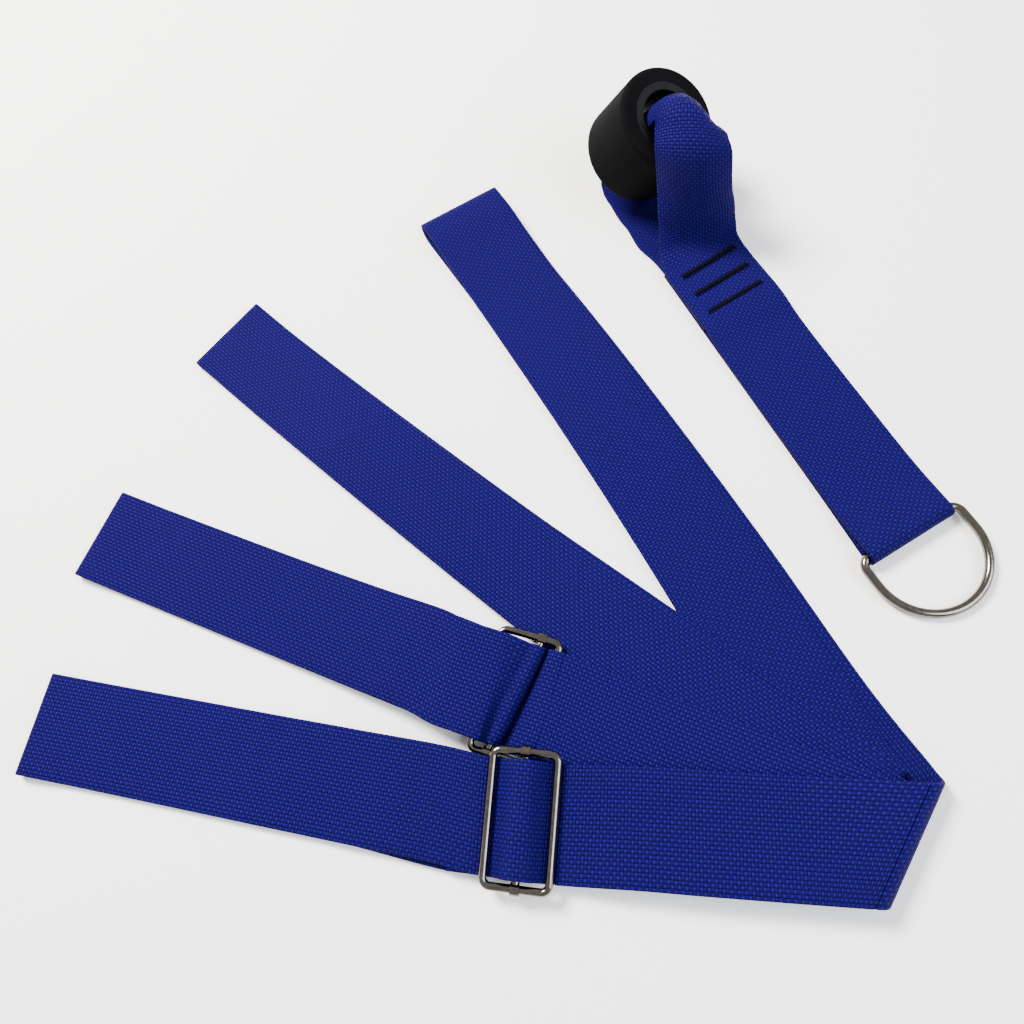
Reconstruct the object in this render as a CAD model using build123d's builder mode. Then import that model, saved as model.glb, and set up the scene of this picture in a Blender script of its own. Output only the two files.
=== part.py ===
from build123d import *
from math import asin, atan2, cos, degrees, radians, sin
import os

# A physiotherapy stretching strap laid out flat, in millimetres: one long webbing strap folded
# into a fan of four bands, with a wire slider and a sewn loop at each of its two ends, and a
# separate door anchor, which is a webbing loop with a steel D-ring and a foam door plug.
# +Z is up, and everything rests on the plane z = 0.

# Webbing
WEB_WIDTH = 37.5
WEB_THICK = 1.4
HALF_THICK = WEB_THICK / 2
LAYER_GAP = 0.2
PITCH = WEB_THICK + LAYER_GAP
UP = Vector(0, 0, 1)

# Wire sliders
WIRE_R = 1.35
FRAME_LENGTH = 40.0          # clear length inside the frame, across the webbing
RAIL_GAP = 10.9              # from the centre bar to each outer bar, centre to centre
FRAME_CORNER = 2.6           # bend radius of the wire's centre line
EYE_BORE = WIRE_R + 0.15
EYE_WALL = 0.6
EYE_LENGTH = 3.0

# D-ring
D_WIRE_R = 1.6
D_INNER_WIDTH = 38.4
D_DEPTH = 31.0               # from the straight bar to the top of the bow, centre line
D_CORNER = 4.0

# Door plug
PLUG_R = 21.0
PLUG_LENGTH = 32.0
PLUG_EDGE = 2.0
SLEEVE_R = 12.6
BORE_R = 11.4
FLANGE_R = 14.5
FLANGE_THICK = 1.2
PLUG_HEADING = -32.0
PLUG_LEAN = 57.0             # the bore's slope above the floor
PLUG_LIFT = 2.3              # it stands on the webbing that passes under its rim
SLEEVE_GAP = 0.1
GATHER_WIDTH = 15.0          # the webbing bunched up in the bore
GATHER_THICK = 3.4
ANCHOR_WIDTH = 35.5

# Bar tacks
TACK_WIDTH = 1.8
TACK_LENGTH = 25.0
TACK_STEP = 10.25
TACK_SKEW = 5.0
TACK_PROUD = 0.25
TACK_FLOOR = 0.05

# The plan is set out on its own axes and moved as a whole, so that its box is centred.
MOVE_X = 5.52
MOVE_Y = -22.73


def spot(x, y, z=0.0):
    return Vector(x + MOVE_X, y + MOVE_Y, z)


def ahead(angle):
    return Vector(cos(radians(angle)), sin(radians(angle)), 0)


def heading(start, end):
    return degrees(atan2(end.Y - start.Y, end.X - start.X))


def flat(point):
    return Vector(point.X, point.Y, 0)


# Plan of the fan. Folds at the left are where each band turns back, folds at the right are oblique.
FOLD_1 = spot(-179.0, -81.7)
FOLD_2 = spot(-169.6, -6.0)
FOLD_3 = spot(-129.4, 87.0)
FOLD_4 = spot(-27.5, 145.4)
CORNER_14 = spot(127.0, -113.2)
CORNER_34 = spot(115.8, -105.8)
CORNER_23 = spot(123.7, -116.3)
SLIDER_A = spot(6.6, -111.5, 9.6)
SLIDER_B = spot(3.5, -71.0, 6.4)
TURN_A = -5.0                # heading of slider A's strap, left to right
TURN_B = -18.0
FRAME_B_TURN = -15.0
BAR_B_SKEW = -9.0            # the loose centre bar of slider B sits askew in its frame
ROLL_A = 8.5                 # the far side of each slider lies on what is under it
ROLL_B = 5.5
BAND_3_BOW = -2.5
BAND_4_BOW = 4.0

# Heights of the layers where all the bands lie on each other, lowest first
STACK = [HALF_THICK + i * PITCH for i in range(6)]

# Layers through a slider, as (along the strap, above the bars' level) in slider B's pose.
# Slider A is the same threading seen from its other face.
RUN_PROFILE = [(-12.5, 2.2), (-9.8, 2.2), (-7.6, 1.3), (-3.6, -2.7), (-1.7, -3.7), (0, -3.85),
               (1.7, -3.7), (3.6, -2.7), (7.6, 1.3), (9.8, 2.2), (12.5, 2.2)]
END_PROFILE = [(-14, 5.3), (-9, 5.3), (-6.5, 4.6), (-4.2, 2.9), (-2.9, 2.05), (-1.2, 2.08), (0, 2.32),
               (1.64, 1.64), (2.32, 0), (1.64, -1.64), (0, -2.32), (-1.3, -2.08), (-2.7, -0.95),
               (-4.8, 1.1), (-8, 3.3), (-10, 3.75), (-14, 3.75)]
TAIL_END = -24.0
CENTRE_REACH = 5.0           # stations nearer the centre bar than this follow the bar's skew


def edge_vector(angle, roll=0.0, width=WEB_WIDTH):
    """Half the webbing's width, to the right of the heading; roll lifts the left side."""
    side = Vector(sin(radians(angle)), -cos(radians(angle)), 0)
    return (side * cos(radians(roll)) - UP * sin(radians(roll))) * (width / 2)


def slider_knots(centre, angle, roll, profile, face, skew=0.0):
    """Stations of one layer through a slider; face is 1 for slider B's pose and -1 for A's."""
    knots = []
    for along, above in profile:
        turned = angle + (skew if abs(along) < CENTRE_REACH else 0.0)
        point = centre + ahead(angle) * along + UP * (above * face)
        knots.append((point, edge_vector(turned, roll)))
    return knots


def band_knots(start, end, stations, bow=0.0, reverse=False):
    """Stations along one band: (distance from start, height, roll), in a gently bowed line."""
    line = flat(end) - flat(start)
    angle = heading(start, end) + (180 if reverse else 0)
    sideways = Vector(-line.Y, line.X, 0).normalized()
    knots = []
    for distance, height, roll in stations:
        share = distance / line.length
        shift = sideways * (bow * 4 * share * (1 - share))
        point = flat(start) + line * share + shift + UP * height
        knots.append((point, edge_vector(angle, roll)))
    return knots


def end_fold(fold, angle, low, high, steps=6):
    """A band's turn back on itself at its left end; the angle points to the right along the band."""
    radius = (high - low) / 2
    knots = []
    for i in range(steps + 1):
        turn = radians(-90 + 180 * i / steps)
        along = HALF_THICK + radius - radius * cos(turn)
        knots.append((flat(fold) + ahead(angle) * along + UP * (low + radius + radius * sin(turn)),
                      edge_vector(angle)))
    return knots


def corner_fold(corner, into, out, start, end, steps=6):
    """An oblique fold at the right: the webbing turns over about the line between its two headings."""
    fold_angle = (into + out) / 2
    fold = ahead(fold_angle)
    slant = radians(into - fold_angle)
    right_side = 1 if fold.dot(edge_vector(into)) > 0 else -1
    edge = fold * (WEB_WIDTH / 2 / abs(sin(slant)) * right_side)
    outward = Vector(fold.Y, -fold.X, 0)
    if outward.dot(ahead(into)) < 0:
        outward = -outward
    radius = (end - start) / 2
    drift = fold.dot(ahead(into)) / abs(sin(slant))
    knots = []
    for i in range(steps + 1):
        turn = radians(-90 + 180 * i / steps)
        arc = abs(radius) * (turn + radians(90))
        point = flat(corner) + outward * (abs(radius) * cos(turn)) + UP * (start + radius + radius * sin(turn))
        point = point + fold * (drift * (arc - abs(radius) * radians(90)))
        knots.append((point, edge))
    return knots


def webbing_sections(knots, thickness=WEB_THICK):
    """One rectangle of webbing across each station, square to the way the webbing runs there."""
    faces = []
    for i, (point, edge) in enumerate(knots):
        before = (point - knots[max(i - 1, 0)][0]).normalized() if i > 0 else Vector()
        after = (knots[i + 1][0] - point).normalized() if i + 1 < len(knots) else Vector()
        way = before + after
        across = edge.normalized()
        way = way - across * way.dot(across)
        thick = thickness[i] if isinstance(thickness, list) else thickness
        with BuildSketch(Plane(origin=point, x_dir=across, z_dir=way)) as section:
            Rectangle(2 * edge.length, thick)
        faces.append(section.sketch)
    return faces


# The long strap, from the tail sewn round slider A's centre bar to the one round slider B's.
# First slider A's sewn end, whose lower layer runs out to the first fold.
line_1 = heading(FOLD_1, SLIDER_A)
reach_1 = (flat(SLIDER_A) - FOLD_1).length
sewn_a = slider_knots(SLIDER_A, TURN_A, ROLL_A, [(TAIL_END, 3.75)] + END_PROFILE[::-1] + [(TAIL_END, 5.3)], -1)
under_1 = band_knots(FOLD_1, SLIDER_A, [(reach_1 - 60, 2.4, 4.0), (reach_1 - 100, HALF_THICK, 0)])
fold_1 = end_fold(FOLD_1, line_1, HALF_THICK, HALF_THICK + 3.2)
over_1 = band_knots(FOLD_1, SLIDER_A, [(22, STACK[1], 0), (reach_1 - 100, STACK[1] + 0.1, 0),
                                       (reach_1 - 60, 4.4, 4.0), (reach_1 - 30, 6.7, ROLL_A)])
run_a = slider_knots(SLIDER_A, TURN_A, ROLL_A, RUN_PROFILE, -1)

# Band 1 leaves slider A to the right, climbs on the stack and turns under it at the corner.
line_4 = heading(CORNER_14, FOLD_4)
first_try = corner_fold(CORNER_14, heading(SLIDER_A, CORNER_14), line_4, STACK[5], STACK[0])
entry_14 = first_try[0][0]
line_1r = heading(SLIDER_A, entry_14)
corner_14 = corner_fold(CORNER_14, line_1r, line_4, STACK[5], STACK[0])
right_1 = band_knots(SLIDER_A, entry_14, [(35, 8.9, 4.0), (60, 9.15, 1.0), (88, STACK[5], 0)])

# Band 4: out on the floor, back over itself in an open loop.
reach_4 = (CORNER_34 - FOLD_4).length
under_4 = band_knots(CORNER_14, FOLD_4, [(s, STACK[0], 0) for s in (40, 100, 160, 220)],
                     bow=-BAND_4_BOW, reverse=True)
line_4u = heading(FOLD_4, CORNER_34)
fold_4 = end_fold(FOLD_4, line_4u, STACK[0], STACK[0] + 8.0)
over_4 = band_knots(FOLD_4, CORNER_34, [(14, 8.0, 0), (28, 5.2, 0), (45, 3.1, 0), (66, STACK[1], 0),
                                        (120, STACK[1], 0), (180, STACK[1], 0),
                                        (reach_4 - 30, STACK[1], 0)], bow=BAND_4_BOW)

# Band 3: climbs on band 4 before it crosses it.
line_3 = heading(CORNER_34, FOLD_3)
corner_34 = corner_fold(CORNER_34, line_4u, line_3, STACK[1], STACK[2])
reach_3 = (CORNER_34 - FOLD_3).length
reach_3u = (CORNER_23 - FOLD_3).length
under_3 = band_knots(FOLD_3, CORNER_34, [(s, z, 0) for s, z in
                                         ((reach_3 - 30, STACK[2]), (222, STACK[2]), (165, STACK[0]),
                                          (110, STACK[0]), (55, STACK[0]))], bow=BAND_3_BOW)
line_3u = heading(FOLD_3, CORNER_23)
fold_3 = end_fold(FOLD_3, line_3u, STACK[0], STACK[0] + 3.2)
over_3 = band_knots(FOLD_3, CORNER_23, [(s, z, 0) for s, z in
                                        ((22, STACK[1]), (55, STACK[1]), (110, STACK[1]), (165, STACK[1]),
                                         (222, STACK[3]), (reach_3u - 30, STACK[3]))], bow=BAND_3_BOW)

# Band 2: back from the corner to slider B, on to the second fold, and back to slider B's centre bar.
line_2r = heading(CORNER_23, SLIDER_B)
corner_23 = corner_fold(CORNER_23, line_3u, line_2r, STACK[3], STACK[4])
right_2 = band_knots(SLIDER_B, CORNER_23, [(88, STACK[4], 0), (60, STACK[4] + 0.1, 0), (35, 7.7, 2.5)])
run_b = slider_knots(SLIDER_B, TURN_B, ROLL_B, RUN_PROFILE[::-1], 1, BAR_B_SKEW)
reach_2 = (flat(SLIDER_B) - FOLD_2).length
under_2 = band_knots(FOLD_2, SLIDER_B, [(reach_2 - 26, 7.3, ROLL_B), (reach_2 - 60, 3.2, 2.5),
                                        (reach_2 - 95, STACK[0], 0)])
line_2 = heading(FOLD_2, SLIDER_B)
fold_2 = end_fold(FOLD_2, line_2, STACK[0], STACK[0] + 3.2)
over_2 = band_knots(FOLD_2, SLIDER_B, [(22, STACK[1], 0), (reach_2 - 95, STACK[1] + 0.1, 0),
                                       (reach_2 - 60, 5.4, 2.5), (reach_2 - 33, 9.6, ROLL_B)])
sewn_b = slider_knots(SLIDER_B, TURN_B, ROLL_B, [(TAIL_END, 4.9)] + END_PROFILE + [(TAIL_END, 3.1)], 1,
                      BAR_B_SKEW)

LONG_STRAP = (sewn_a + under_1 + fold_1 + over_1 + run_a + right_1 + corner_14 + under_4 + fold_4
              + over_4 + corner_34 + under_3 + fold_3 + over_3 + corner_23 + right_2 + run_b + under_2
              + fold_2 + over_2 + sewn_b)

with BuildPart() as long_strap:
    loft(webbing_sections(LONG_STRAP), ruled=True)

run_length = sum((b[0] - a[0]).length for a, b in zip(LONG_STRAP, LONG_STRAP[1:]))
print("long strap, end to end:", round(run_length), "mm; volume", round(long_strap.part.volume),
      "against", round(run_length * WEB_WIDTH * WEB_THICK))


# Sliders: a closed wire rectangle, and a loose centre bar whose curled ends ride on the short rails.
def slider_plane(centre, angle, roll):
    across = edge_vector(angle, roll).normalized()
    return Plane(origin=centre, x_dir=ahead(angle), z_dir=across.cross(ahead(angle)))


PLANE_A = slider_plane(SLIDER_A, TURN_A, ROLL_A)
PLANE_B = slider_plane(SLIDER_B, FRAME_B_TURN, ROLL_B)
RAIL_Y = FRAME_LENGTH / 2 + WIRE_R
EYE_R = EYE_BORE + EYE_WALL


def frame_path(plane):
    with BuildSketch(plane) as outline:
        RectangleRounded(2 * RAIL_GAP, 2 * RAIL_Y, FRAME_CORNER)
    return outline.sketch.face().outer_wire()


def wire_section(path, radius):
    with BuildSketch(Plane(origin=path @ 0, z_dir=path % 0)) as section:
        Circle(radius)
    return section.sketch


def bar_ends(plane, skew):
    shift = RAIL_Y * sin(radians(skew))
    return plane.from_local_coords(Vector(-shift, RAIL_Y, 0)), plane.from_local_coords(Vector(shift, -RAIL_Y, 0))


def eye_plane(plane, middle):
    return Plane(origin=middle, x_dir=plane.y_dir, z_dir=plane.x_dir)


path_a = frame_path(PLANE_A)
with BuildPart() as slider_a_frame:
    sweep(wire_section(path_a, WIRE_R), path=path_a)

path_b = frame_path(PLANE_B)
with BuildPart() as slider_b_frame:
    sweep(wire_section(path_b, WIRE_R), path=path_b)

far_a, near_a = bar_ends(PLANE_A, 0.0)
with BuildPart() as slider_a_bar:
    with BuildSketch(Plane(origin=far_a, z_dir=near_a - far_a)):
        Circle(WIRE_R)
    extrude(amount=(near_a - far_a).length)
    for end in (far_a, near_a):
        with BuildSketch(eye_plane(PLANE_A, end)):
            Circle(EYE_R)
        extrude(amount=EYE_LENGTH / 2, both=True)
    for end in (far_a, near_a):
        with BuildSketch(eye_plane(PLANE_A, end)):
            Circle(EYE_BORE)
        extrude(amount=EYE_LENGTH, both=True, mode=Mode.SUBTRACT)

far_b, near_b = bar_ends(PLANE_B, BAR_B_SKEW + TURN_B - FRAME_B_TURN)
with BuildPart() as slider_b_bar:
    with BuildSketch(Plane(origin=far_b, z_dir=near_b - far_b)):
        Circle(WIRE_R)
    extrude(amount=(near_b - far_b).length)
    for end in (far_b, near_b):
        with BuildSketch(eye_plane(PLANE_B, end)):
            Circle(EYE_R)
        extrude(amount=EYE_LENGTH / 2, both=True)
    for end in (far_b, near_b):
        with BuildSketch(eye_plane(PLANE_B, end)):
            Circle(EYE_BORE)
        extrude(amount=EYE_LENGTH, both=True, mode=Mode.SUBTRACT)


def tack_plane(centre, angle):
    return Plane(origin=centre, x_dir=ahead(angle), z_dir=UP)


# Door anchor. Its webbing runs from the D-ring to the plug in a straight line, is gathered through
# the plug's bore, and comes back underneath.
ANCHOR_HEADING = 117.3
RING_TURN = 4.5              # the fold round the D-ring is a little askew
RING_END = spot(144.9, -15.3)
D_FOLD_R = D_WIRE_R + 0.3 + HALF_THICK
RING_WAY = ahead(ANCHOR_HEADING + RING_TURN)
D_BAR = RING_END + RING_WAY * (D_FOLD_R + HALF_THICK) + UP * (HALF_THICK + D_FOLD_R)
AXIS = ahead(PLUG_HEADING) * cos(radians(PLUG_LEAN)) + UP * sin(radians(PLUG_LEAN))
plug_height = PLUG_R * cos(radians(PLUG_LEAN)) + PLUG_LENGTH / 2 * sin(radians(PLUG_LEAN)) + PLUG_LIFT
PLUG_CENTRE = spot(57.2, 156.0, plug_height)
MOUTH_TOP = PLUG_CENTRE + AXIS * (PLUG_LENGTH / 2)
MOUTH_LOW = PLUG_CENTRE - AXIS * (PLUG_LENGTH / 2)
TACK_FIRST = 118.8           # from the D-ring's fold to the nearest bar tack
LAP_END = TACK_FIRST + 2 * TACK_STEP + 6
DRAPE_SIDE = ahead(-8.0)
BORE_SIDE = (DRAPE_SIDE - AXIS * DRAPE_SIDE.dot(AXIS)).normalized()


def on_anchor(distance, height, turn=0.0):
    """A flat station on the anchor's straight run, so far from the D-ring's fold."""
    point = RING_END + ahead(ANCHOR_HEADING) * distance + UP * height
    return point, edge_vector(ANCHOR_HEADING + turn, width=ANCHOR_WIDTH), WEB_THICK


def gathered(point, side, share):
    """A station where the webbing is bunched: share 0 is its full width, 1 is as it is in the bore."""
    width = ANCHOR_WIDTH + (GATHER_WIDTH - ANCHOR_WIDTH) * share
    return point, side.normalized() * (width / 2), WEB_THICK + (GATHER_THICK - WEB_THICK) * share


def ring_fold(steps=6):
    """The turn round the D-ring's bar, from the lower layer to the upper one."""
    knots = []
    for i in range(steps + 1):
        turn = radians(-90 + 180 * i / steps)
        point = RING_END + RING_WAY * (HALF_THICK + D_FOLD_R - D_FOLD_R * cos(turn))
        point = point + UP * (HALF_THICK + D_FOLD_R + D_FOLD_R * sin(turn))
        knots.append((point, edge_vector(ANCHOR_HEADING + RING_TURN, width=ANCHOR_WIDTH), WEB_THICK))
    return knots


RUN_SIDE = edge_vector(ANCHOR_HEADING).normalized()
lower_run = [on_anchor(LAP_END - 0.5, STACK[0]), on_anchor(60, STACK[0]), on_anchor(30, STACK[0], RING_TURN / 2)]
upper_run = [on_anchor(22, STACK[1] + 0.8, RING_TURN / 2), on_anchor(45, STACK[1]),
             on_anchor(TACK_FIRST - 18, STACK[1]), on_anchor(TACK_FIRST - 8, STACK[2]),
             on_anchor(LAP_END, STACK[2])]
drape = [
    gathered(spot(79.4, 120.0, 6.6), RUN_SIDE, 0.0),
    gathered(spot(77.3, 123.5, 15.5), RUN_SIDE + DRAPE_SIDE * 0.6, 0.1),
    gathered(spot(74.4, 126.8, 31.0), DRAPE_SIDE, 0.25),
    gathered(spot(72.8, 131.0, 43.0), DRAPE_SIDE, 0.3),
    gathered(spot(72.0, 138.0, 49.0), DRAPE_SIDE, 0.4),
    gathered(spot(70.4, 145.0, 51.2), DRAPE_SIDE + BORE_SIDE, 0.65),
    gathered(spot(68.0, 149.8, 48.2), BORE_SIDE, 0.9),
    gathered(MOUTH_TOP, BORE_SIDE, 1.0),
    gathered(MOUTH_LOW, BORE_SIDE, 1.0),
    gathered(spot(48.4, 162.8, 9.6), BORE_SIDE * 2 + RUN_SIDE, 0.95),
    gathered(spot(46.4, 162.8, 5.6), BORE_SIDE + RUN_SIDE * 2, 0.85),
    gathered(spot(46.4, 160.2, 2.6), RUN_SIDE, 0.7),
    gathered(spot(50.6, 153.4, 1.2), RUN_SIDE, 0.5),
    gathered(spot(59.6, 141.0, 1.0), RUN_SIDE, 0.25),
    gathered(spot(69.0, 128.0, STACK[0]), RUN_SIDE, 0.0),
]
lap = [on_anchor(LAP_END + 9, STACK[0]), on_anchor(LAP_END + 1.5, STACK[1]), on_anchor(TACK_FIRST - 6, STACK[1])]
ANCHOR_STRAP = lower_run + ring_fold() + upper_run + drape + lap
anchor_line = [knot[:2] for knot in ANCHOR_STRAP]
anchor_thickness = [knot[2] for knot in ANCHOR_STRAP]

with BuildPart() as anchor_strap:
    loft(webbing_sections(anchor_line, anchor_thickness), ruled=True)

anchor_length = sum((b[0] - a[0]).length for a, b in zip(anchor_line, anchor_line[1:]))
print("anchor strap, end to end:", round(anchor_length), "mm; volume", round(anchor_strap.part.volume),
      "against", round(anchor_length * ANCHOR_WIDTH * WEB_THICK))


# Three bar tacks hold the overlapped ends.
def anchor_tack_plane(number):
    middle = on_anchor(TACK_FIRST + number * TACK_STEP, 0)[0]
    return tack_plane(middle, ANCHOR_HEADING + TACK_SKEW).offset(TACK_FLOOR)


anchor_tack_height = STACK[2] + HALF_THICK + TACK_PROUD - TACK_FLOOR
with BuildPart() as anchor_tack_1:
    with BuildSketch(anchor_tack_plane(0)):
        RectangleRounded(TACK_WIDTH, TACK_LENGTH, TACK_WIDTH / 3)
    extrude(amount=anchor_tack_height)

with BuildPart() as anchor_tack_2:
    with BuildSketch(anchor_tack_plane(1)):
        RectangleRounded(TACK_WIDTH, TACK_LENGTH, TACK_WIDTH / 3)
    extrude(amount=anchor_tack_height)

with BuildPart() as anchor_tack_3:
    with BuildSketch(anchor_tack_plane(2)):
        RectangleRounded(TACK_WIDTH, TACK_LENGTH, TACK_WIDTH / 3)
    extrude(amount=anchor_tack_height)

# D-ring: a round wire bow on a straight bar, lying with its bow on the floor.
d_tilt = degrees(asin((D_BAR.Z - D_WIRE_R) / D_DEPTH))
D_ACROSS = edge_vector(ANCHOR_HEADING + RING_TURN).normalized()
D_OUT = -RING_WAY * cos(radians(d_tilt)) - UP * sin(radians(d_tilt))
D_PLANE = Plane(origin=D_BAR, x_dir=D_ACROSS, z_dir=D_ACROSS.cross(D_OUT))
BOW_R = D_INNER_WIDTH / 2 + D_WIRE_R
BOW_Y = D_DEPTH - BOW_R
with BuildSketch(D_PLANE) as d_outline:
    with Locations((0, BOW_Y)):
        Circle(BOW_R)
        Rectangle(2 * BOW_R, BOW_R, align=(Align.CENTER, Align.MIN), mode=Mode.INTERSECT)
    Rectangle(2 * BOW_R, BOW_Y, align=(Align.CENTER, Align.MIN))
    fillet(d_outline.vertices().group_by(Axis.Y)[0], radius=D_CORNER)
d_path = d_outline.sketch.face().outer_wire()
with BuildPart() as d_ring:
    sweep(wire_section(d_path, D_WIRE_R), path=d_path)

# Door plug: a foam cylinder with a flanged plastic sleeve pressed into its bore from each end.
SIDEWAYS = ahead(PLUG_HEADING + 90)
LOW_PLANE = Plane(origin=MOUTH_LOW, x_dir=SIDEWAYS, z_dir=AXIS)
TOP_PLANE = Plane(origin=MOUTH_TOP, x_dir=SIDEWAYS, z_dir=-AXIS)
sleeve_length = (PLUG_LENGTH - SLEEVE_GAP) / 2
with BuildPart() as plug_foam:
    with BuildSketch(LOW_PLANE):
        Circle(PLUG_R)
    extrude(amount=PLUG_LENGTH)
    fillet(plug_foam.edges().filter_by(GeomType.CIRCLE), radius=PLUG_EDGE)
    with BuildSketch(LOW_PLANE):
        Circle(SLEEVE_R)
    extrude(amount=PLUG_LENGTH, mode=Mode.SUBTRACT)
    with BuildSketch(LOW_PLANE):
        Circle(FLANGE_R)
    extrude(amount=FLANGE_THICK, mode=Mode.SUBTRACT)
    with BuildSketch(TOP_PLANE):
        Circle(FLANGE_R)
    extrude(amount=FLANGE_THICK, mode=Mode.SUBTRACT)

with BuildPart() as plug_sleeve_top:
    with BuildSketch(TOP_PLANE):
        Circle(FLANGE_R)
    extrude(amount=FLANGE_THICK)
    with BuildSketch(TOP_PLANE):
        Circle(SLEEVE_R)
    extrude(amount=sleeve_length)
    with BuildSketch(TOP_PLANE):
        Circle(BORE_R)
    extrude(amount=sleeve_length, mode=Mode.SUBTRACT)

with BuildPart() as plug_sleeve_bottom:
    with BuildSketch(LOW_PLANE):
        Circle(FLANGE_R)
    extrude(amount=FLANGE_THICK)
    with BuildSketch(LOW_PLANE):
        Circle(SLEEVE_R)
    extrude(amount=sleeve_length)
    with BuildSketch(LOW_PLANE):
        Circle(BORE_R)
    extrude(amount=sleeve_length, mode=Mode.SUBTRACT)

pieces = {
    "long_strap": long_strap,
    "slider_a_frame": slider_a_frame,
    "slider_a_bar": slider_a_bar,
    "slider_b_frame": slider_b_frame,
    "slider_b_bar": slider_b_bar,
    "anchor_strap": anchor_strap,
    "anchor_tack_1": anchor_tack_1,
    "anchor_tack_2": anchor_tack_2,
    "anchor_tack_3": anchor_tack_3,
    "d_ring": d_ring,
    "plug_foam": plug_foam,
    "plug_sleeve_top": plug_sleeve_top,
    "plug_sleeve_bottom": plug_sleeve_bottom,
}

os.makedirs("parts", exist_ok=True)
for name, piece in pieces.items():
    piece.part.label = name
    export_step(piece.part, f"parts/{name}.step")

boxes = [piece.part.bounding_box() for piece in pieces.values()]
low = [min(getattr(box.min, axis) for box in boxes) for axis in "XYZ"]
high = [max(getattr(box.max, axis) for box in boxes) for axis in "XYZ"]
print("box", [round(v, 2) for v in low], [round(v, 2) for v in high])
print("slider A", SLIDER_A, "slider B", SLIDER_B, "D bar", D_BAR, "plug", PLUG_CENTRE, "axis", AXIS)
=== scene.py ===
# %% [markdown]
# # A stretching strap with a door anchor
# A physiotherapy strap is two lengths of woven webbing with a little hardware. The long one lies
# folded in a fan, with a wire slider and a loop at each end. The short one joins a D-ring to a
# foam plug that holds behind a closed door. The hard parts come from the measured frame, and this
# notebook adds what makes them real: the cloth, the sewing, and the finish of each surface.

# %% The measured frame
from math import atan2, cos, degrees, floor, pi, radians, sin, sqrt

import bmesh
import bpy
from mathutils import Matrix, Vector


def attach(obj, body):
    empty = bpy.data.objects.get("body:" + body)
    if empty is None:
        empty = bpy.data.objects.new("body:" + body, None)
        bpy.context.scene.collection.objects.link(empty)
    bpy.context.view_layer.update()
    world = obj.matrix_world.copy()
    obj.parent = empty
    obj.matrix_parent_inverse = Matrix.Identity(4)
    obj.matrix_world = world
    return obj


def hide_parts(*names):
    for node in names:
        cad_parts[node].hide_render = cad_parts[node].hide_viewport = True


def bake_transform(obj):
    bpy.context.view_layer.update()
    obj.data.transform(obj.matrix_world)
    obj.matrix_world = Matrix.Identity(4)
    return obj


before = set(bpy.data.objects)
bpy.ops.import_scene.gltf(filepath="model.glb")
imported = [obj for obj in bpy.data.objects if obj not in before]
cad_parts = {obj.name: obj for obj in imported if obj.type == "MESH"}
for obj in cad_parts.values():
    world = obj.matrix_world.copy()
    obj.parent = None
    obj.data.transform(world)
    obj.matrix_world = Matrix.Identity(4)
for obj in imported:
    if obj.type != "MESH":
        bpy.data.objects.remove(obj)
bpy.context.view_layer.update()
MM = 0.001
UP = Vector((0, 0, 1))
print("frame:", ", ".join(sorted(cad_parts)))

# %% [markdown]
# ## Where the webbing runs
# Webbing hardly stretches, so a strap is fully told by the line that its middle follows and the
# direction of its width. Nearly the same stations laid out the solid model. Each one is a point
# on the middle line with half of the width as a vector. They are in millimetres here, because that
# is how webbing is sold and cut, and become metres when the cloth is made.

# %% The webbing's sizes
WEB_WIDTH = 37.5
WEB_THICK = 1.4
HALF_THICK = WEB_THICK / 2
PITCH = WEB_THICK + 0.2
STACK = [HALF_THICK + i * PITCH for i in range(6)]
MOVE = Vector((5.52, -22.73, 0))


def spot(x, y, z=0.0):
    return Vector((x, y, z)) + MOVE


def ahead(angle):
    return Vector((cos(radians(angle)), sin(radians(angle)), 0))


def heading(start, end):
    return degrees(atan2(end.y - start.y, end.x - start.x))


def flat(point):
    return Vector((point.x, point.y, 0))


def edge_vector(angle, roll=0.0, width=WEB_WIDTH):
    """Half the webbing's width, to the right of the heading; roll lifts the left side."""
    side = Vector((sin(radians(angle)), -cos(radians(angle)), 0))
    return (side * cos(radians(roll)) - UP * sin(radians(roll))) * (width / 2)


print("layer heights:", [round(z, 2) for z in STACK])

# %% [markdown]
# ## Bands, turns and oblique folds
# A fan-folded strap has three kinds of stretch. A band is nearly straight. At the left each band
# simply turns back over itself, which is a half circle seen from the side. At the right the
# strap is folded at a slant, so that it leaves in another direction: it still bends about a
# straight line, but that line isn't square to it, so the middle line drifts along the fold.

# %% Helpers for the three kinds of stretch
def slider_knots(centre, angle, roll, profile, face, skew=0.0):
    knots = []
    for along, above in profile:
        turned = angle + (skew if abs(along) < 5 else 0)
        knots.append((centre + ahead(angle) * along + UP * (above * face), edge_vector(turned, roll)))
    return knots


def band_knots(start, end, stations, bow=0.0, reverse=False):
    line = flat(end) - flat(start)
    angle = heading(start, end) + (180 if reverse else 0)
    sideways = Vector((-line.y, line.x, 0)).normalized()
    knots = []
    for distance, height, roll in stations:
        share = distance / line.length
        shift = sideways * (bow * 4 * share * (1 - share))
        knots.append((flat(start) + line * share + shift + UP * height, edge_vector(angle, roll)))
    return knots


def end_fold(fold, angle, low, high, steps=8):
    radius = (high - low) / 2
    knots = []
    for i in range(steps + 1):
        turn = radians(-90 + 180 * i / steps)
        along = HALF_THICK + radius - radius * cos(turn)
        height = low + radius + radius * sin(turn)
        knots.append((flat(fold) + ahead(angle) * along + UP * height, edge_vector(angle)))
    return knots


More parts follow.
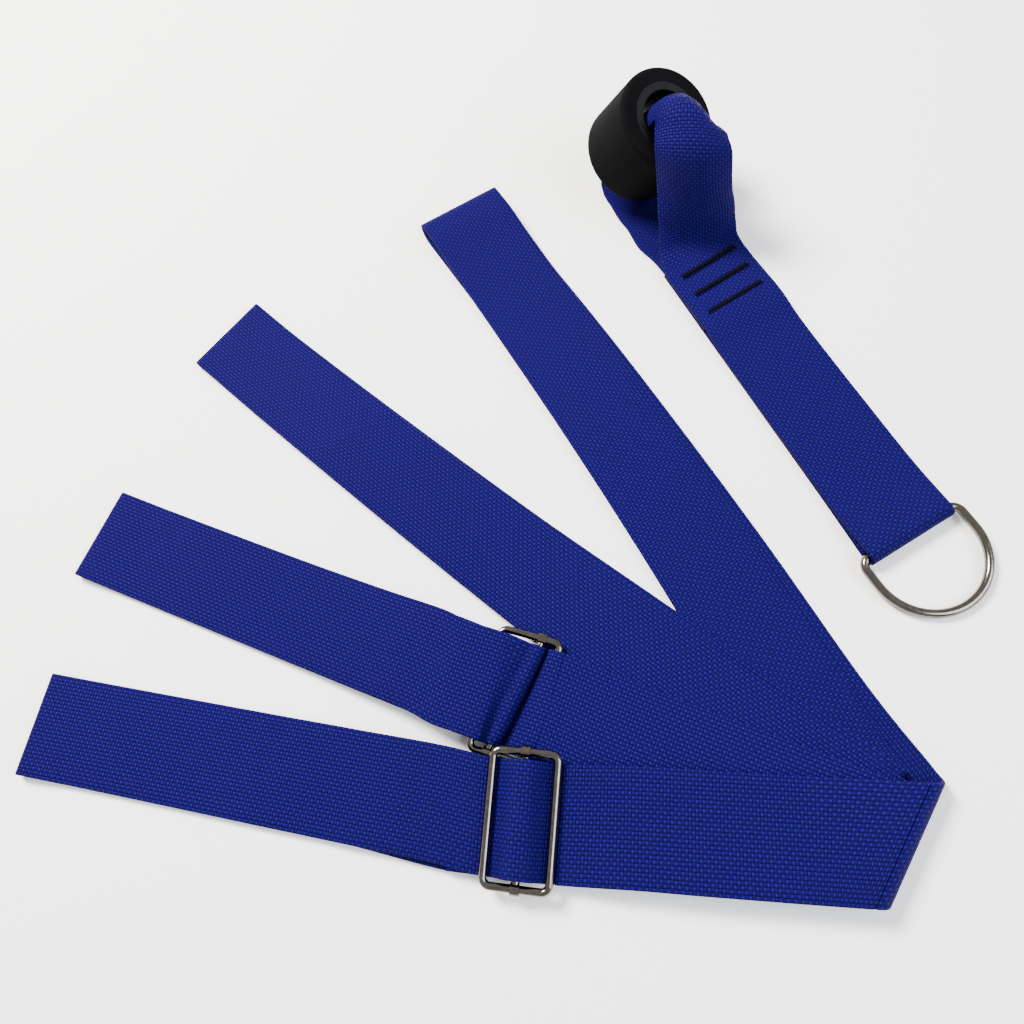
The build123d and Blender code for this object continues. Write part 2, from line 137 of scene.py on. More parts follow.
def corner_fold(corner, into, out, start, end, steps=8):
    fold_angle = (into + out) / 2
    fold = ahead(fold_angle)
    slant = radians(into - fold_angle)
    right_side = 1 if fold.dot(edge_vector(into)) > 0 else -1
    edge = fold * (WEB_WIDTH / 2 / abs(sin(slant)) * right_side)
    outward = Vector((fold.y, -fold.x, 0))
    if outward.dot(ahead(into)) < 0:
        outward = -outward
    radius = (end - start) / 2
    drift = fold.dot(ahead(into)) / abs(sin(slant))
    knots = []
    for i in range(steps + 1):
        turn = -90 + 180 * i / steps
        point = flat(corner) + outward * (abs(radius) * cos(radians(turn)))
        point = point + UP * (start + radius + radius * sin(radians(turn)))
        knots.append((point + fold * (drift * abs(radius) * radians(turn)), edge))
    return knots


print("helpers ready")

# %% [markdown]
# ## The long strap's stations
# The strap starts at the end sewn round the near slider's centre bar, runs out to the first fold
# and back through that slider, then along the fan, and ends the same way at the far slider.

# %% The long strap, end to end
FOLD_1 = spot(-179.0, -81.7)
FOLD_2 = spot(-169.6, -6.0)
FOLD_3 = spot(-129.4, 87.0)
FOLD_4 = spot(-27.5, 145.4)
CORNER_14 = spot(127.0, -113.2)
CORNER_34 = spot(115.8, -105.8)
CORNER_23 = spot(123.7, -116.3)
SLIDER_A = spot(6.6, -111.5, 9.6)
SLIDER_B = spot(3.5, -71.0, 6.4)
TURN_A, ROLL_A = -5.0, 8.5
TURN_B, ROLL_B = -18.0, 5.5
SKEW_B = -9.0
BOW_3, BOW_4 = -2.5, 4.0
RUN_PROFILE = [(-12.5, 2.2), (-9.8, 2.2), (-7.6, 1.3), (-3.6, -2.7), (-1.7, -3.7), (0, -3.85),
               (1.7, -3.7), (3.6, -2.7), (7.6, 1.3), (9.8, 2.2), (12.5, 2.2)]
END_PROFILE = [(-14, 5.3), (-9, 5.3), (-6.5, 4.6), (-4.2, 2.9), (-2.9, 2.05), (-1.2, 2.08), (0, 2.32),
               (1.64, 1.64), (2.32, 0), (1.64, -1.64), (0, -2.32), (-1.3, -2.08), (-2.7, -0.95),
               (-4.8, 1.1), (-8, 3.3), (-10, 3.75), (-14, 3.75)]

line_1 = heading(FOLD_1, SLIDER_A)
reach_1 = (flat(SLIDER_A) - FOLD_1).length
sewn_a = slider_knots(SLIDER_A, TURN_A, ROLL_A, [(-24, 3.75)] + END_PROFILE[::-1] + [(-24, 5.3)], -1)
under_1 = band_knots(FOLD_1, SLIDER_A, [(reach_1 - 60, 2.4, 4.0), (reach_1 - 100, HALF_THICK, 0)])
fold_1 = end_fold(FOLD_1, line_1, HALF_THICK, HALF_THICK + 3.2)
over_1 = band_knots(FOLD_1, SLIDER_A, [(22, STACK[1], 0), (reach_1 - 100, STACK[1] + 0.1, 0),
                                       (reach_1 - 60, 4.4, 4.0), (reach_1 - 30, 6.7, ROLL_A)])
run_a = slider_knots(SLIDER_A, TURN_A, ROLL_A, RUN_PROFILE, -1)

line_4 = heading(CORNER_14, FOLD_4)
entry_14 = corner_fold(CORNER_14, heading(SLIDER_A, CORNER_14), line_4, STACK[5], STACK[0])[0][0]
corner_14 = corner_fold(CORNER_14, heading(SLIDER_A, entry_14), line_4, STACK[5], STACK[0])
right_1 = band_knots(SLIDER_A, entry_14, [(35, 8.9, 4.0), (60, 9.15, 1.0), (88, STACK[5], 0)])

reach_4 = (CORNER_34 - FOLD_4).length
under_4 = band_knots(CORNER_14, FOLD_4, [(s, STACK[0], 0) for s in (40, 100, 160, 220)],
                     bow=-BOW_4, reverse=True)
line_4u = heading(FOLD_4, CORNER_34)
fold_4 = end_fold(FOLD_4, line_4u, STACK[0], STACK[0] + 8.0)
over_4 = band_knots(FOLD_4, CORNER_34, [(14, 8.0, 0), (28, 5.2, 0), (45, 3.1, 0), (66, STACK[1], 0),
                                        (120, STACK[1], 0), (180, STACK[1], 0),
                                        (reach_4 - 30, STACK[1], 0)], bow=BOW_4)

line_3 = heading(CORNER_34, FOLD_3)
corner_34 = corner_fold(CORNER_34, line_4u, line_3, STACK[1], STACK[2])
reach_3 = (CORNER_34 - FOLD_3).length
reach_3u = (CORNER_23 - FOLD_3).length
under_3 = band_knots(FOLD_3, CORNER_34, [(reach_3 - 30, STACK[2], 0), (222, STACK[2], 0), (165, STACK[0], 0),
                                         (110, STACK[0], 0), (55, STACK[0], 0)], bow=BOW_3)
line_3u = heading(FOLD_3, CORNER_23)
fold_3 = end_fold(FOLD_3, line_3u, STACK[0], STACK[0] + 3.2)
over_3 = band_knots(FOLD_3, CORNER_23, [(22, STACK[1], 0), (55, STACK[1], 0), (110, STACK[1], 0),
                                        (165, STACK[1], 0), (222, STACK[3], 0),
                                        (reach_3u - 30, STACK[3], 0)], bow=BOW_3)

line_2r = heading(CORNER_23, SLIDER_B)
corner_23 = corner_fold(CORNER_23, line_3u, line_2r, STACK[3], STACK[4])
right_2 = band_knots(SLIDER_B, CORNER_23, [(88, STACK[4], 0), (60, STACK[4] + 0.1, 0), (35, 7.7, 2.5)])
run_b = slider_knots(SLIDER_B, TURN_B, ROLL_B, RUN_PROFILE[::-1], 1, SKEW_B)
reach_2 = (flat(SLIDER_B) - FOLD_2).length
under_2 = band_knots(FOLD_2, SLIDER_B, [(reach_2 - 26, 7.3, ROLL_B), (reach_2 - 60, 3.2, 2.5),
                                        (reach_2 - 95, STACK[0], 0)])
fold_2 = end_fold(FOLD_2, heading(FOLD_2, SLIDER_B), STACK[0], STACK[0] + 3.2)
over_2 = band_knots(FOLD_2, SLIDER_B, [(22, STACK[1], 0), (reach_2 - 95, STACK[1] + 0.1, 0),
                                       (reach_2 - 60, 5.4, 2.5), (reach_2 - 33, 9.6, ROLL_B)])
sewn_b = slider_knots(SLIDER_B, TURN_B, ROLL_B, [(-24, 4.9)] + END_PROFILE + [(-24, 3.1)], 1, SKEW_B)

stretches = {
    "loop_a": sewn_a + under_1 + fold_1 + over_1 + run_a,
    "run_a": right_1,
    "fan": corner_14 + under_4 + fold_4 + over_4 + corner_34 + under_3 + fold_3 + over_3 + corner_23,
    "run_b": right_2,
    "loop_b": run_b + under_2 + fold_2 + over_2 + sewn_b,
}
print("stations:", {name: len(knots) for name, knots in stretches.items()})

# %% [markdown]
# ## A smooth line through the stations
# A loft through the stations has a crease at each of them, which cloth doesn't. A centripetal
# Catmull-Rom curve passes through every station and doesn't overshoot where a tight fold meets a
# long band, so the cloth stays close to the solid model.

# %% Curves through the stations
def between(a, b, c, d, share):
    """A point between b and c on the centripetal Catmull-Rom curve through a, b, c and d."""
    t0 = 0.0
    t1 = t0 + sqrt(max((b - a).length, 1e-6))
    t2 = t1 + sqrt(max((c - b).length, 1e-6))
    t3 = t2 + sqrt(max((d - c).length, 1e-6))
    t = t1 + (t2 - t1) * share
    ab = a.lerp(b, (t - t0) / (t1 - t0))
    bc = b.lerp(c, (t - t1) / (t2 - t1))
    cd = c.lerp(d, (t - t2) / (t3 - t2))
    return ab.lerp(bc, (t - t0) / (t2 - t0)).lerp(bc.lerp(cd, (t - t1) / (t3 - t1)), share)


def smooth_run(knots, first, last, step=2.5):
    """Close stations from knot first to knot last, each (point, edge, share of curl)."""
    run = []
    for i in range(first, last):
        quad = [knots[min(max(j, 0), len(knots) - 1)] for j in (i - 1, i, i + 1, i + 2)]
        pieces = max(2, round((quad[2][0] - quad[1][0]).length / step))
        for k in range(pieces):
            share = k / pieces
            ease = share * share * (3 - 2 * share)
            point = between(quad[0][0], quad[1][0], quad[2][0], quad[3][0], share)
            curl = quad[1][2] + (quad[2][2] - quad[1][2]) * ease
            run.append((point, quad[1][1].lerp(quad[2][1], ease), curl))
    run.append(knots[last])
    return run


long_knots = [(point, edge, 0.0) for knots in stretches.values() for point, edge in knots]
marks = [0]
for knots in stretches.values():
    marks.append(marks[-1] + len(knots))
# Each stretch reaches to its neighbour's first station, except that the sliders keep their own.
cuts = [0, marks[1] - 1, marks[2], marks[3] - 1, marks[4], marks[5] - 1]
runs = {name: smooth_run(long_knots, cuts[i], cuts[i + 1]) for i, name in enumerate(stretches)}
print("close stations:", {name: len(run) for name, run in runs.items()})

# %% [markdown]
# ## Making webbing
# Webbing is a flat band, so it starts as a grid: a few faces across, many along. Each row of the
# grid is moved to its station. The grid's UV map holds the real distance across and along the
# cloth, so that the weave follows it round every fold at its true size. Solidify gives it its
# thickness, and a small bevel rounds the woven edges. In the plug's bore the band curls into a
# channel, so a row may also be bent into an arc. A bmesh bevel on the long edges alone leaves a
# stretch's ends square, so that it meets the next stretch without a seam.

# %% The webbing maker
ACROSS = 12
FULL_CURL = 2.05             # half the angle of the arc in the bore, in radians
SHARP = radians(60)          # only the rims of the band are sharper than this
EDGE_ROUND = 0.4
END_REACH = 0.3              # how far from a stretch's last station its end faces lie


def row_point(run, i, across):
    """The place of one grid point: across runs from -1 to 1."""
    point, edge, curl = run[i]
    way = run[min(i + 1, len(run) - 1)][0] - run[max(i - 1, 0)][0]
    if curl < 0.01:
        return point + edge * across
    side = edge.normalized()
    outward = side.cross(way - side * way.dot(side)).normalized()
    half_angle = FULL_CURL * curl
    radius = edge.length / sin(half_angle)
    crown = radius * (1 - cos(half_angle)) / 2
    turn = half_angle * across
    return point + side * (radius * sin(turn)) + outward * (radius * (cos(turn) - 1) + crown)


def make_webbing(name, run, width):
    lengths = [0.0]
    for a, b in zip(run, run[1:]):
        lengths.append(lengths[-1] + (b[0] - a[0]).length)
    mesh = bmesh.new()
    rows = len(run) - 1
    bmesh.ops.create_grid(mesh, x_segments=ACROSS, y_segments=rows, size=1.0)
    uv = mesh.loops.layers.uv.new("cloth")
    for face in mesh.faces:
        for loop in face.loops:
            row = round((loop.vert.co.y + 1) / 2 * rows)
            loop[uv].uv = (loop.vert.co.x * width / 2 * MM, lengths[row] * MM)
    for vert in mesh.verts:
        row = round((vert.co.y + 1) / 2 * rows)
        place = row_point(run, row, vert.co.x)
        place.z = max(place.z, HALF_THICK)
        vert.co = place * MM
    bmesh.ops.recalc_face_normals(mesh, faces=mesh.faces)
    data = bpy.data.meshes.new(name)
    mesh.to_mesh(data)
    mesh.free()
    piece = bpy.data.objects.new(name, data)
    bpy.context.scene.collection.objects.link(piece)
    thicken = piece.modifiers.new("thickness", "SOLIDIFY")
    thicken.thickness = WEB_THICK * MM
    thicken.offset = 0
    apply_modifiers(piece)
    round_selvedges(piece, run)
    print(name, "is", round(lengths[-1]), "mm long, with", len(piece.data.polygons), "faces")
    return piece, lengths[-1]


def apply_modifiers(piece):
    bpy.context.view_layer.update()
    baked = bpy.data.meshes.new_from_object(piece.evaluated_get(bpy.context.evaluated_depsgraph_get()))
    piece.modifiers.clear()
    piece.data = baked
    baked.polygons.foreach_set("use_smooth", [True] * len(baked.polygons))


def round_selvedges(piece, run):
    """Rounds the two long edges. Where the cloth goes on in the next piece, its end stays square."""
    ends = [(run[0][0], run[1][0] - run[0][0]), (run[-1][0], run[-2][0] - run[-1][0])]

    def at_end(vert):
        place = vert.co / MM
        return any(abs((place - point).dot(way.normalized())) < END_REACH
                   and (place - point).length < WEB_WIDTH for point, way in ends)

    cloth = bmesh.new()
    cloth.from_mesh(piece.data)
    long_edges = []
    for edge in cloth.edges:
        if len(edge.link_faces) == 2 and edge.calc_face_angle() > SHARP:
            if all(at_end(vert) for vert in edge.verts):
                edge.smooth = False
            else:
                long_edges.append(edge)
    bmesh.ops.bevel(cloth, geom=long_edges, offset=EDGE_ROUND * MM, offset_type="OFFSET", segments=2,
                    profile=0.5, affect="EDGES", material=-1)
    cloth.to_mesh(piece.data)
    cloth.free()


webbing = {}
for name, run in runs.items():
    webbing[name] = make_webbing("webbing_" + name, run, WEB_WIDTH)

# %% [markdown]
# ## The door anchor
# The anchor is one more length of webbing. It turns round the D-ring's bar, its ends are lapped
# and sewn, and the loop that is left runs through the foam plug. There it is too wide for the
# bore, so it curls into a channel, and the curl fades out as the cloth drops to the floor.

# %% The anchor's stations
ANCHOR_WIDTH = 35.5
BORE_WIDTH = 15.0
ANCHOR_TURN = 117.3
RING_TURN = 4.5
RING_END = spot(144.9, -15.3)
RING_WIRE_R = 1.6
RING_PLAY = 0.3              # the webbing is loose on the ring's bar
RING_R = RING_WIRE_R + RING_PLAY + HALF_THICK
RING_WAY = ahead(ANCHOR_TURN + RING_TURN)
TACK_FIRST, TACK_STEP = 118.8, 10.25
LAP_MARGIN = 6               # the lap goes on this far past the last tack
LAP_END = TACK_FIRST + 2 * TACK_STEP + LAP_MARGIN
PLUG_LEAN = radians(57)
AXIS = ahead(-32) * cos(PLUG_LEAN) + UP * sin(PLUG_LEAN)
PLUG_R, PLUG_LENGTH = 21.0, 32.0
PLUG_LIFT = 2.3              # the plug stands on the webbing that passes under its rim
PLUG_HEIGHT = PLUG_R * cos(PLUG_LEAN) + PLUG_LENGTH / 2 * sin(PLUG_LEAN) + PLUG_LIFT
PLUG_CENTRE = spot(57.2, 156.0, PLUG_HEIGHT)
DRAPE_SIDE = ahead(-8)
BORE_SIDE = (DRAPE_SIDE - AXIS * DRAPE_SIDE.dot(AXIS)).normalized()
RUN_SIDE = edge_vector(ANCHOR_TURN).normalized()


def on_anchor(distance, height, turn=0.0):
    point = RING_END + ahead(ANCHOR_TURN) * distance + UP * height
    return point, edge_vector(ANCHOR_TURN + turn, width=ANCHOR_WIDTH), 0.0


def gathered(point, side, share, curl=None):
    """A station narrowed by share of the way to the bore's width, and curled as much unless told."""
    half_width = (ANCHOR_WIDTH + (BORE_WIDTH - ANCHOR_WIDTH) * share) / 2
    return point, side.normalized() * half_width, share if curl is None else curl


ring_turn = []
for i in range(9):
    turn = radians(-90 + 180 * i / 8)
    point = RING_END + RING_WAY * (HALF_THICK + RING_R - RING_R * cos(turn))
    point = point + UP * (HALF_THICK + RING_R + RING_R * sin(turn))
    ring_turn.append((point, edge_vector(ANCHOR_TURN + RING_TURN, width=ANCHOR_WIDTH), 0.0))

anchor_knots = [on_anchor(LAP_END - 0.5, STACK[0]), on_anchor(60, STACK[0]),
                on_anchor(30, STACK[0], RING_TURN / 2)]
anchor_knots += ring_turn
anchor_knots += [
    on_anchor(22, STACK[1] + 0.8, RING_TURN / 2), on_anchor(45, STACK[1]),
    on_anchor(TACK_FIRST - 18, STACK[1]), on_anchor(TACK_FIRST - 8, STACK[2]), on_anchor(LAP_END, STACK[2]),
    gathered(spot(77.2, 120.0, 6.6), RUN_SIDE * 2 + DRAPE_SIDE * 0.6, 0.06),
    gathered(spot(76.4, 123.5, 15.5), RUN_SIDE + DRAPE_SIDE * 0.8, 0.18),
    gathered(spot(73.8, 126.8, 31.0), DRAPE_SIDE, 0.3),
    gathered(spot(72.8, 131.0, 43.0), DRAPE_SIDE, 0.3),
    gathered(spot(72.0, 137.5, 46.8), DRAPE_SIDE, 0.4),
    gathered(spot(70.6, 143.5, 48.2), DRAPE_SIDE + BORE_SIDE, 0.65),
    gathered(spot(68.4, 148.2, 46.2), BORE_SIDE, 0.9),
    gathered(PLUG_CENTRE + AXIS * (PLUG_LENGTH / 2), BORE_SIDE, 1.0),
    gathered(PLUG_CENTRE - AXIS * (PLUG_LENGTH / 2), BORE_SIDE, 1.0),
    # On the floor side the cloth lies flat and only narrows, so its curl ends with the turn.
    gathered(spot(48.4, 162.8, 9.6), BORE_SIDE * 2 + RUN_SIDE, 0.95, curl=0.45),
    gathered(spot(46.4, 162.8, 5.6), BORE_SIDE + RUN_SIDE * 2, 0.85, curl=0.0),
    gathered(spot(46.4, 160.2, 2.6), RUN_SIDE, 0.7, curl=0.0),
    gathered(spot(50.6, 153.4, 1.2), RUN_SIDE, 0.5, curl=0.0),
    gathered(spot(59.6, 141.0, 1.0), RUN_SIDE, 0.25, curl=0.0),
    gathered(spot(69.0, 128.0, STACK[0]), RUN_SIDE, 0.0),
    on_anchor(LAP_END + 9, STACK[0]), on_anchor(LAP_END + 1.5, STACK[1]),
    on_anchor(TACK_FIRST - 6, STACK[1]),
]
anchor_run = smooth_run(anchor_knots, 0, len(anchor_knots) - 1)
webbing["anchor"] = make_webbing("webbing_anchor", anchor_run, ANCHOR_WIDTH)

# %% [markdown]
# ## Bar tacks
# A bar tack is a short row of zigzag stitches, sewn so close that it stands up as a black ridge.
# Each stitch is a small round thread laid at a slant, and dips into the cloth at both ends.

# %% Three rows of stitching
STITCH_LENGTH = 2.8
STITCH_STEP = 0.72
ROW_LENGTH = 26.5
THREAD_R = 0.42
STITCH_LEAN = 24             # each stitch slants this much, to one side and then the other
STITCH_RISE = 0.7            # the share of its radius that a thread's middle lies above the cloth
TACK_TURN = ANCHOR_TURN + 5.0
LAP_TOP = STACK[2] + HALF_THICK


def make_tack(name, centre):
    row = bmesh.new()
    count = floor(ROW_LENGTH / STITCH_STEP)
    for i in range(count):
        lean = STITCH_LEAN if i % 2 else -STITCH_LEAN
        shift = (i - (count - 1) / 2) * STITCH_STEP
        made = bmesh.ops.create_uvsphere(row, u_segments=8, v_segments=6, radius=THREAD_R * MM)
        stretch = Matrix.Diagonal((1, 1, STITCH_LENGTH / 2 / THREAD_R, 1))
        lay_flat = Matrix.Rotation(radians(90), 4, "Y")
        swing = Matrix.Rotation(radians(TACK_TURN + lean), 4, "Z")
        place = centre + ahead(TACK_TURN - 90) * shift + UP * (LAP_TOP + THREAD_R * STITCH_RISE)
        move = Matrix.Translation(place * MM) @ swing @ lay_flat @ stretch
        bmesh.ops.transform(row, matrix=move, verts=made["verts"])
    data = bpy.data.meshes.new(name)
    row.to_mesh(data)
    row.free()
    data.polygons.foreach_set("use_smooth", [True] * len(data.polygons))
    piece = bpy.data.objects.new(name, data)
    bpy.context.scene.collection.objects.link(piece)
    print(name, "has", count, "stitches")
    return piece


tacks = [make_tack(f"stitches_{i + 1}", on_anchor(TACK_FIRST + i * TACK_STEP, 0)[0]) for i in range(3)]

# %% [markdown]
# ## Materials
# Colours are picked as sRGB hex values, and Blender mixes light in linear values, so one function
# converts them. Another adds a node with its settings and its links.

# %% Colour and node helpers
def linear(code, alpha=1.0):
    parts = [int(code[i:i + 2], 16) / 255 for i in (1, 3, 5)]
    return tuple(p / 12.92 if p <= 0.04045 else ((p + 0.055) / 1.055) ** 2.4 for p in parts) + (alpha,)


def add(tree, kind, links=None, **settings):
    """Adds a node. Settings are its properties, or numbers for its input sockets in links."""
    node = tree.nodes.new(kind)
    for key, value in settings.items():
        setattr(node, key, value)
    for socket, source in (links or {}).items():
        if isinstance(source, bpy.types.NodeSocket):
            tree.links.new(source, node.inputs[socket])
        else:
            node.inputs[socket].default_value = source
    return node


def new_material(name):
    material = bpy.data.materials.new(name)
    material.use_nodes = True
    tree = material.node_tree
    tree.nodes.clear()
    shader = add(tree, "ShaderNodeBsdfPrincipled")
    add(tree, "ShaderNodeOutputMaterial", {"Surface": shader.outputs["BSDF"]})
    return material, tree, shader


print("mid grey is", [round(c, 3) for c in linear("#808080")[:3]])

# %% [markdown]
# ## Woven polypropylene webbing
# This webbing is a plain weave of thick, matt yarn. Lengthwise and crosswise yarns take
# turns on top, like a chessboard, so the surface is pebbly. Where a yarn crowns, a lighter blue is
# a painted highlight, and the hollows between yarns get painted shade. The product of two sine
# waves has just that pattern: it is positive on the white squares of the board and negative on
# the black ones. Real yarns lie about 1 mm apart; here they are a third wider, so that each painted
# highlight still shows when the whole strap is in view. The blues are more violet than they look,
# because a strong blue turns paler and greener on its way to the screen.

# %% The webbing material
YARN_ACROSS = 1.35           # millimetres from one yarn to the next
YARN_ALONG = 1.12


def webbing_material():
    material, tree, shader = new_material("woven_polypropylene")
    cloth = add(tree, "ShaderNodeUVMap", uv_map="cloth")
    split = add(tree, "ShaderNodeSeparateXYZ", {"Vector": cloth.outputs["UV"]})
    place = add(tree, "ShaderNodeTexCoord")
    wobble = add(tree, "ShaderNodeTexNoise",
                 {"Vector": place.outputs["Object"], "Scale": 420.0, "Detail": 2.0})
    drift = add(tree, "ShaderNodeMath", {0: wobble.outputs["Fac"], 1: 0.6}, operation="MULTIPLY")
    turns_u = add(tree, "ShaderNodeMath", operation="MULTIPLY_ADD",
                  links={0: split.outputs["X"], 1: pi / (YARN_ACROSS * MM), 2: drift.outputs[0]})
    turns_v = add(tree, "ShaderNodeMath", operation="MULTIPLY_ADD",
                  links={0: split.outputs["Y"], 1: pi / (YARN_ALONG * MM), 2: drift.outputs[0]})
    wave_u = add(tree, "ShaderNodeMath", {0: turns_u.outputs[0]}, operation="SINE")
    wave_v = add(tree, "ShaderNodeMath", {0: turns_v.outputs[0]}, operation="SINE")
    board = add(tree, "ShaderNodeMath", {0: wave_u.outputs[0], 1: wave_v.outputs[0]}, operation="MULTIPLY")
    crown = add(tree, "ShaderNodeMath", {0: board.outputs[0]}, operation="ABSOLUTE")
    # Painted highlight: the crowns of the yarns are mixed towards a lighter blue, in place of light catching
    # their tops.
    crown_highlight = add(tree, "ShaderNodeMapRange",
                {"Value": board.outputs[0], "From Min": 0.25, "From Max": 0.95, "To Min": 0.0, "To Max": 1.0})
    # Painted shade: the hollows between the yarns are mixed towards a darker blue.
    groove_shade = add(tree, "ShaderNodeMapRange",
                 {"Value": crown.outputs[0], "From Min": 0.0, "From Max": 0.35, "To Min": 0.0, "To Max": 1.0})
    worn = add(tree, "ShaderNodeTexNoise", {"Vector": place.outputs["Object"], "Scale": 26.0, "Detail": 3.0})
    base = add(tree, "ShaderNodeMix", data_type="RGBA",
               links={"Factor": worn.outputs["Fac"], 6: linear("#0b013c"), 7: linear("#0e0146")})
    shaded_grooves = add(tree, "ShaderNodeMix", {"Factor": groove_shade.outputs["Result"], 6: linear("#08012c"),
                                       7: base.outputs[2]}, data_type="RGBA")
    highlighted_crowns = add(tree, "ShaderNodeMix", {"Factor": crown_highlight.outputs["Result"], 6: shaded_grooves.outputs[2],
                                          7: linear("#160a60")}, data_type="RGBA")
    height = add(tree, "ShaderNodeMath", {0: crown.outputs[0], 1: 0.5}, operation="POWER")
    bump = add(tree, "ShaderNodeBump", {"Height": height.outputs[0], "Strength": 0.9, "Distance": 0.4 * MM})
    tree.links.new(highlighted_crowns.outputs[2], shader.inputs["Base Color"])
    tree.links.new(bump.outputs["Normal"], shader.inputs["Normal"])
    shader.inputs["Roughness"].default_value = 0.62
    shader.inputs["Specular IOR Level"].default_value = 0.04
    return material


def thread_material():
    material, tree, shader = new_material("black_polyester_thread")
    place = add(tree, "ShaderNodeTexCoord")
    twist = add(tree, "ShaderNodeTexNoise", {"Vector": place.outputs["Object"], "Scale": 2500.0})
    tone = add(tree, "ShaderNodeMix", {"Factor": twist.outputs["Fac"], 6: linear("#010102"),
                                       7: linear("#050508")}, data_type="RGBA")
    bump = add(tree, "ShaderNodeBump",
               {"Height": twist.outputs["Fac"], "Strength": 0.5, "Distance": 0.1 * MM})
    tree.links.new(tone.outputs[2], shader.inputs["Base Color"])
    tree.links.new(bump.outputs["Normal"], shader.inputs["Normal"])
    shader.inputs["Roughness"].default_value = 0.7
    shader.inputs["Specular IOR Level"].default_value = 0.04
    return material


blue = webbing_material()
black_thread = thread_material()
print("made", blue.name, "and", black_thread.name)

# %% [markdown]
# ## Metal, foam and plastic
# The sliders and the ring are steel wire, bent, welded and nickel plated: a warm, dark grey mirror
# with faint drawing marks. The plug is closed-cell foam, nearly black and quite dull, with tiny
# pits. The sleeve in its bore is moulded plastic, as black but smoother, so it shows as a rim.

# %% The hard materials
def nickel_material():
    material, tree, shader = new_material("nickel_plated_wire")
    place = add(tree, "ShaderNodeTexCoord")
    marks_seen = add(tree, "ShaderNodeTexNoise",
                     {"Vector": place.outputs["Object"], "Scale": 600.0, "Detail": 4.0})
    tone = add(tree, "ShaderNodeMix", {"Factor": marks_seen.outputs["Fac"], 6: linear("#4e4944"),
                                       7: linear("#7e7870")}, data_type="RGBA")
    rough = add(tree, "ShaderNodeMapRange",
                {"Value": marks_seen.outputs["Fac"], "To Min": 0.08, "To Max": 0.2})
    bump = add(tree, "ShaderNodeBump", {"Height": marks_seen.outputs["Fac"], "Strength": 0.15,
                                        "Distance": 0.05 * MM})
    tree.links.new(tone.outputs[2], shader.inputs["Base Color"])
    tree.links.new(rough.outputs["Result"], shader.inputs["Roughness"])
    tree.links.new(bump.outputs["Normal"], shader.inputs["Normal"])
    shader.inputs["Metallic"].default_value = 1.0
    return material


def foam_material():
    material, tree, shader = new_material("closed_cell_foam")
    place = add(tree, "ShaderNodeTexCoord")
    cells = add(tree, "ShaderNodeTexVoronoi", {"Vector": place.outputs["Object"], "Scale": 900.0})
    cloud = add(tree, "ShaderNodeTexNoise", {"Vector": place.outputs["Object"], "Scale": 60.0, "Detail": 3.0})
    tone = add(tree, "ShaderNodeMix", {"Factor": cloud.outputs["Fac"], 6: linear("#030304"),
                                       7: linear("#0a0a0c")}, data_type="RGBA")
    bump = add(tree, "ShaderNodeBump", {"Height": cells.outputs["Distance"], "Strength": 0.4,
                                        "Distance": 0.2 * MM})
    tree.links.new(tone.outputs[2], shader.inputs["Base Color"])
    tree.links.new(bump.outputs["Normal"], shader.inputs["Normal"])
    shader.inputs["Roughness"].default_value = 0.88
    shader.inputs["Specular IOR Level"].default_value = 0.04
    return material


def sleeve_material():
    material, tree, shader = new_material("moulded_black_plastic")
    place = add(tree, "ShaderNodeTexCoord")
    grain = add(tree, "ShaderNodeTexNoise",
                {"Vector": place.outputs["Object"], "Scale": 700.0, "Detail": 2.0})
    tone = add(tree, "ShaderNodeMix", {"Factor": grain.outputs["Fac"], 6: linear("#030304"),
                                       7: linear("#08080a")}, data_type="RGBA")
    rough = add(tree, "ShaderNodeMapRange", {"Value": grain.outputs["Fac"], "To Min": 0.28, "To Max": 0.45})
    tree.links.new(tone.outputs[2], shader.inputs["Base Color"])
    tree.links.new(rough.outputs["Result"], shader.inputs["Roughness"])
    shader.inputs["Specular IOR Level"].default_value = 0.2
    return material


nickel = nickel_material()
foam = foam_material()
sleeve = sleeve_material()
finishes = {
    "slider_a_frame": nickel, "slider_a_bar": nickel, "slider_b_frame": nickel, "slider_b_bar": nickel,
    "d_ring": nickel, "plug_foam": foam, "plug_sleeve_top": sleeve, "plug_sleeve_bottom": sleeve,
}
for node, finish in finishes.items():
    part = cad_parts[node]
    for slot in part.material_slots:
        slot.material = finish
    print(node, "is", finish.name)

# %% [markdown]
# ## What each piece moves with
# The fan and the anchor move as they are. A loop has to follow its slider at one end and stay at
# its fold at the other, and so does the stretch of webbing from each slider to the corner; here
# these pieces are only baked in place and ride with no body.

# %% Riding and declaring
for name, (piece, length) in webbing.items():
    piece.data.materials.clear()
    piece.data.materials.append(blue)
    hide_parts("anchor_strap" if name == "anchor" else "long_strap")


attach(webbing["fan"][0], "strap")
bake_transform(webbing["loop_a"][0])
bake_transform(webbing["run_a"][0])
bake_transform(webbing["loop_b"][0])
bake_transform(webbing["run_b"][0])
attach(webbing["anchor"][0], "anchor")
for i, row in enumerate(tacks):
    row.data.materials.append(black_thread)
    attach(row, "anchor")
    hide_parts(f"anchor_tack_{i + 1}")
print("pieces declared")

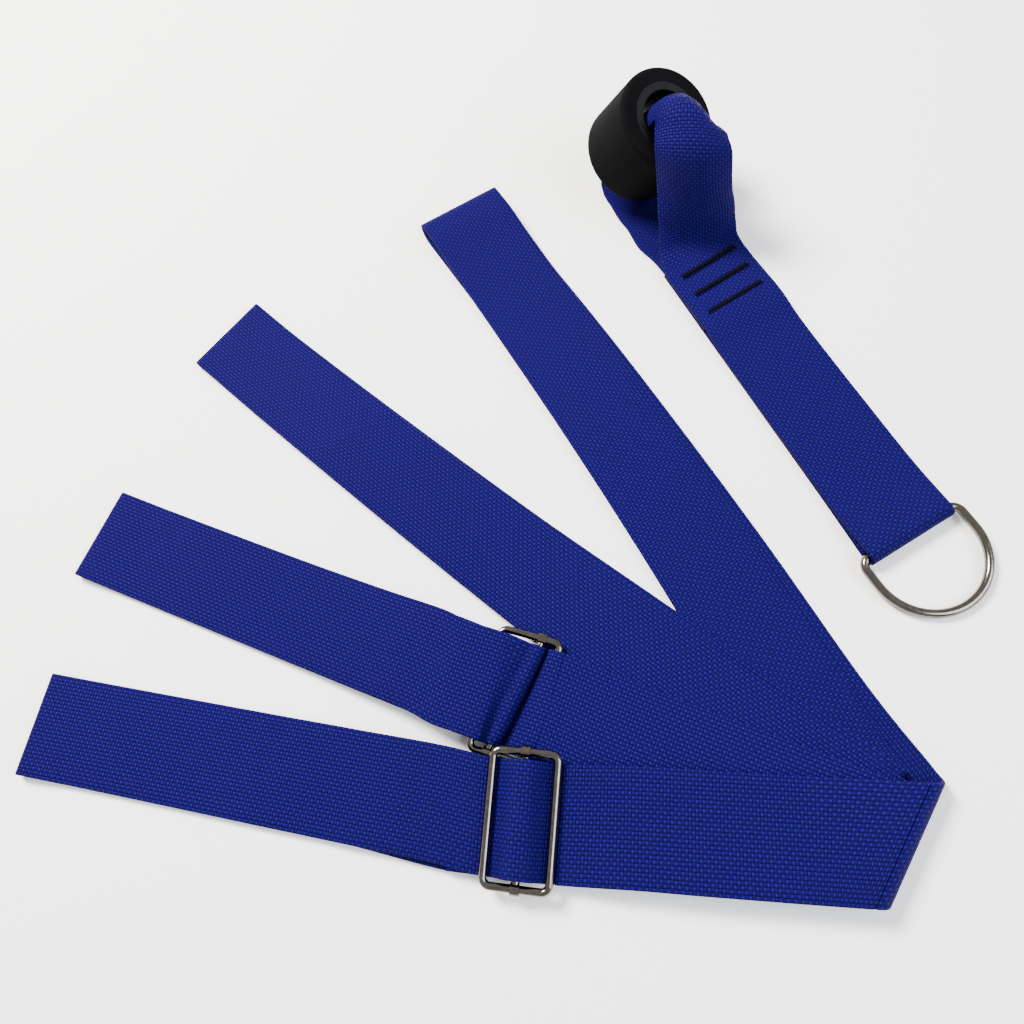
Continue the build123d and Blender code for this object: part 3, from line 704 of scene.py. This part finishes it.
# %% [markdown]
# ## Floor, light and camera
# The object lies on a plain white sweep under a big soft light from the upper left, with a weak
# fill from the right, as for a catalogue picture. The camera looks down steeply, from nearer the
# front edge.

# %% Studio
sheet = bmesh.new()
bmesh.ops.create_grid(sheet, x_segments=1, y_segments=1, size=3.0)
bmesh.ops.translate(sheet, vec=(0, 0, -0.15 * MM), verts=sheet.verts)
floor_data = bpy.data.meshes.new("floor")
sheet.to_mesh(floor_data)
sheet.free()
floor_piece = bpy.data.objects.new("floor", floor_data)
bpy.context.scene.collection.objects.link(floor_piece)
paper, paper_tree, paper_shader = new_material("white_paper")
paper_shader.inputs["Base Color"].default_value = linear("#fbfbfb")
paper_shader.inputs["Roughness"].default_value = 0.9
floor_data.materials.append(paper)


def soft_light(name, place, size, power, colour):
    lamp = bpy.data.lights.new(name, "AREA")
    lamp.size = size
    lamp.energy = power
    lamp.color = linear(colour)[:3]
    light = bpy.data.objects.new(name, lamp)
    light.location = place
    light.rotation_euler = (-Vector(place)).to_track_quat("-Z", "Y").to_euler()
    bpy.context.scene.collection.objects.link(light)
    return light


soft_light("key", (-0.6, 0.5, 0.9), 0.4, 62.0, "#fffaf2")
soft_light("fill", (0.9, -0.3, 0.8), 0.9, 24.0, "#f2f6ff")
world = bpy.data.worlds.new("studio")
world.use_nodes = True
world.node_tree.nodes["Background"].inputs["Color"].default_value = linear("#ffffff")
world.node_tree.nodes["Background"].inputs["Strength"].default_value = 0.75
bpy.context.scene.world = world

# %% Camera
lens = bpy.data.cameras.new("camera")
lens.sensor_width = 36.0
lens.lens = 28.34
camera = bpy.data.objects.new("camera", lens)
right = Vector((0.99205, 0.02296, -0.12374))
upward = Vector((0.02296, 0.93371, 0.35729))
back = right.cross(upward)
turned = Matrix((right, upward, back)).transposed().to_4x4()
camera.matrix_world = Matrix.Translation((Vector((38.74, -111.861, 289.835)) + MOVE) * MM) @ turned
bpy.context.scene.collection.objects.link(camera)
bpy.context.scene.camera = camera
print("camera at", [round(c, 3) for c in camera.matrix_world.translation])
